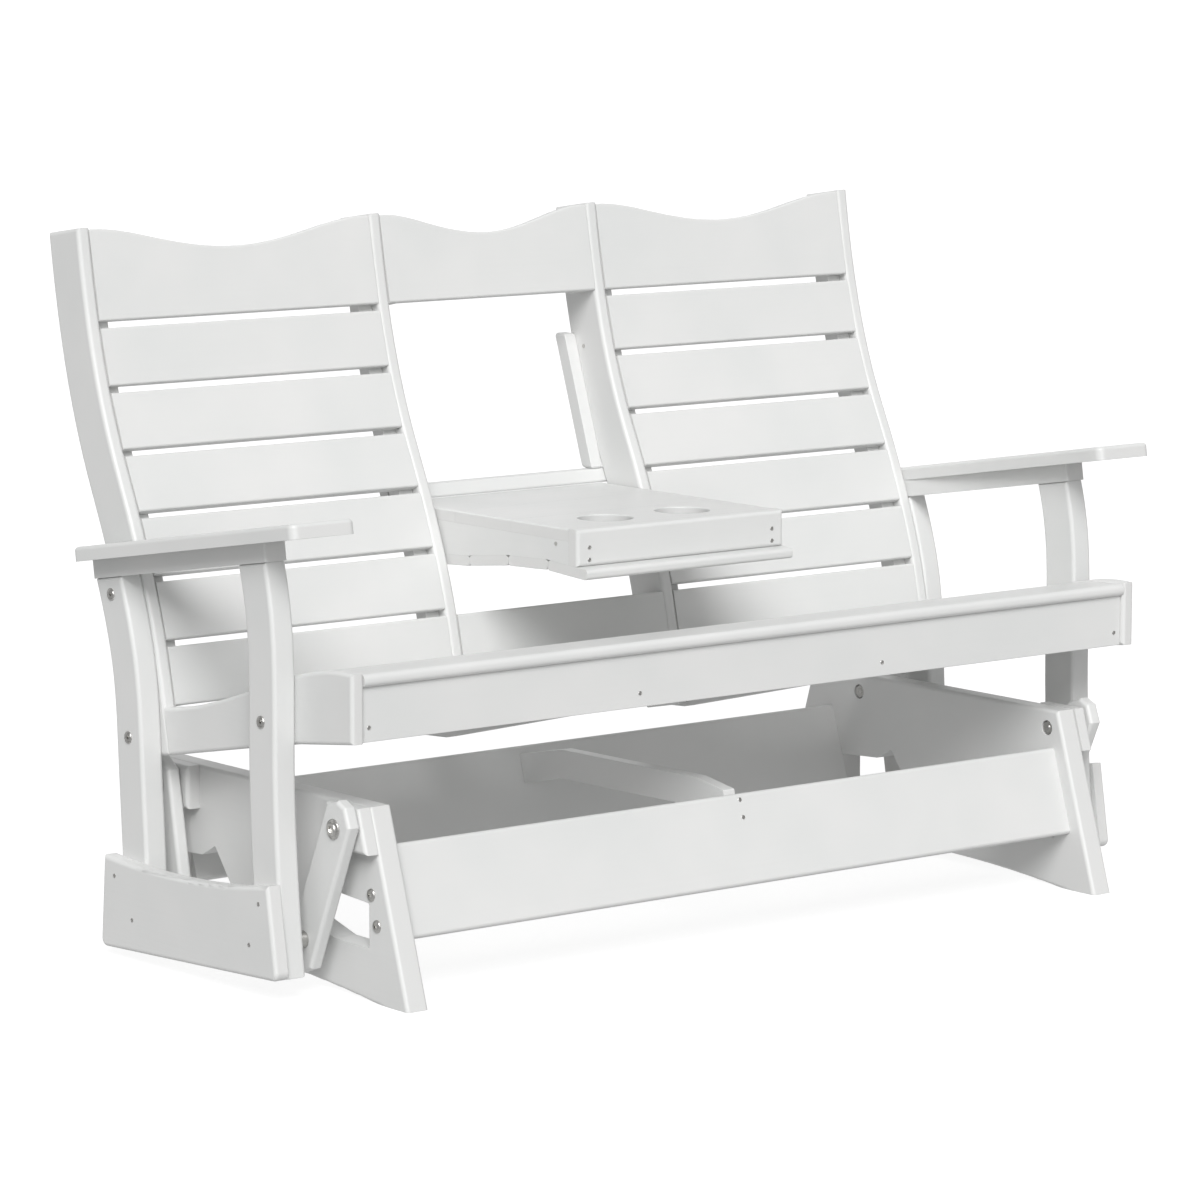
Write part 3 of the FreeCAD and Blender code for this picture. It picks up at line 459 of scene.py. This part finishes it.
def from_middle(name, side, y, z):
    """Place on the inner side of a board, from millimetres back and up."""
    return on_surface(name, (0, y * MM, z * MM), (side, 0, 0))


def handed(start, side):
    """Name of the right or the left one of a pair of boards."""
    return start + ("_right" if side > 0 else "_left")


print("skirt screw:", [round(v, 3) for v in from_front("seat_front_skirt", 238, 412)[0]])

# %% Screws in the seat frame
SKIRT_X = [730, 238]
SKIRT_Z = 412
SIDE_BOARD_SCREWS = [(155, 127), (-227, 146), (108, 67), (-202, 82)]
POST_SCREW = (333, 850)
seat_screws = []
for side in (-1, 1):
    seat_screws += [from_front("seat_front_skirt", side * x, SKIRT_Z) for x in SKIRT_X]
    seat_screws += [from_side(handed("side_board", side), side, y, z) for y, z in SIDE_BOARD_SCREWS]
    seat_screws.append(from_middle(handed("back_post_inner", side), side, *POST_SCREW))
print("seat screws in front, at the ends and in the posts:", len(seat_screws))

# %% Screws behind the back
CLEAT_X = [730, 240]
row_boxes = separate_boxes("back_slats_left")
row_heights = [(low.z + high.z) / 2 / MM for low, high in row_boxes]
for side in (-1, 1):
    for x in CLEAT_X:
        seat_screws += [from_rear("back_cleats", side * x, z) for z in row_heights]
turned("seat_frame_screws", SCREW, seat_screws, "seat", SCREW_STEPS)
print("seat screws:", len(seat_screws), "rows:", [round(z) for z in row_heights])

# %% Screws in the table and the base
TABLE_SCREW_X = 180
TABLE_SCREW_Z = [604, 585]
SIDE_SCREW = (-121, 606)
RAIL_SCREW_Z = [217, 191]
table_screws = []
for side in (-1, 1):
    table_screws += [from_front("console_front_board", side * TABLE_SCREW_X, z) for z in TABLE_SCREW_Z]
    table_screws.append(from_side(handed("console_side", side), side, *SIDE_SCREW))
turned("table_screws", SCREW, table_screws, "console", SCREW_STEPS)
base_screws = [from_front("base_front_rail", 0, z) for z in RAIL_SCREW_Z]
base_screws += [from_rear("base_rear_rail", 0, z) for z in RAIL_SCREW_Z]
turned("base_screws", SCREW, base_screws, "base", SCREW_STEPS)
print("table screws:", len(table_screws), "base screws:", len(base_screws))

# %% [markdown]
# ## Floor, light and camera
# The bench stands on a wide sheet of opal acrylic that is lit from below, as in a product studio, so the
# floor stays white and keeps only a faint shadow. The sheet would light the bench too strongly, so it is
# left out of bounced light, and a weak wide lamp from below stands for its glow. A large soft key lamp
# comes over the camera's shoulder, weak lamps in front and behind fill the shadows, and grey walls do
# the rest. The camera stands well back with a long lens, higher than the bench, and looks down a little.

# %% Lay the floor
FLOOR_HALF = 200.0
SHEET_SPOT = 30 * MM
SHEET_GLOW = 0.85
floor_mesh = bpy.data.meshes.new("studio_floor")
floor_corners = [(-FLOOR_HALF, -FLOOR_HALF, 0), (FLOOR_HALF, -FLOOR_HALF, 0), (FLOOR_HALF, FLOOR_HALF, 0),
                 (-FLOOR_HALF, FLOOR_HALF, 0)]
floor_mesh.from_pydata(floor_corners, [], [(0, 1, 2, 3)])
floor = bpy.data.objects.new("studio_floor", floor_mesh)
bpy.context.scene.collection.objects.link(floor)
# Opal acrylic with light behind it is an even white with no gloss.
acrylic = two_toned("opal_acrylic_sheet", ("#868686", "#828282"), SHEET_SPOT, (0.85, 0.95), SCRATCH_DEPTH,
                    IOR=1.49, Emission_Color=linear("#FFFFFF"), Emission_Strength=SHEET_GLOW)
dress(floor, acrylic)
floor.visible_diffuse = False
floor.visible_glossy = False
floor.visible_shadow = False
print("floor side:", 2 * FLOOR_HALF, "m")

# %% Hang the lights
WALL_GLOW = 0.42
# Each lamp has a strength, a spread in degrees and the way that it shines.
LAMPS = {
    "key_lamp": (2.55, 30, Vector((0.64, 0.8, -0.84))),
    "fill_lamp": (0.4, 40, Vector((0.45, 1, -0.3))),
    "floor_glow": (0.4, 120, Vector((0, 0, 1))),
    "back_lamp": (0.4, 60, Vector((-0.75, -0.7, -0.3))),
}
world = bpy.data.worlds.new("dim_studio")
world.use_nodes = True
world.node_tree.nodes["Background"].inputs["Color"].default_value = linear("#FFFFFF")
world.node_tree.nodes["Background"].inputs["Strength"].default_value = WALL_GLOW
bpy.context.scene.world = world
for name, (strength, spread, way) in LAMPS.items():
    lamp = bpy.data.lights.new(name, "SUN")
    lamp.energy = strength
    lamp.angle = math.radians(spread)
    lamp_piece = bpy.data.objects.new(name, lamp)
    lamp_piece.rotation_euler = way.to_track_quat("-Z", "Y").to_euler()
    bpy.context.scene.collection.objects.link(lamp_piece)
    print(name, "shines along", [round(v, 2) for v in way.normalized()])
bpy.context.scene.view_settings.view_transform = "Standard"

# %% Stand the camera
CAMERA_PLACE = Vector((-4.772, -6.0461, 1.602))
CAMERA_TURN = math.radians(51.85)
CAMERA_TILT = math.radians(8.23)
CAMERA_LENS = 149.37
FILM_WIDTH = 36
FAR_CLIP = 1000
camera = bpy.data.cameras.new("studio_camera")
camera.lens = CAMERA_LENS
camera.sensor_width = FILM_WIDTH
camera.clip_end = FAR_CLIP
camera_piece = bpy.data.objects.new("studio_camera", camera)
sight = Vector((math.cos(CAMERA_TURN) * math.cos(CAMERA_TILT), math.sin(CAMERA_TURN) * math.cos(CAMERA_TILT),
                -math.sin(CAMERA_TILT)))
camera_piece.location = CAMERA_PLACE
camera_piece.rotation_euler = sight.to_track_quat("-Z", "Y").to_euler()
bpy.context.scene.collection.objects.link(camera_piece)
bpy.context.scene.camera = camera_piece
print("camera distance:", round(CAMERA_PLACE.length, 2), "m")
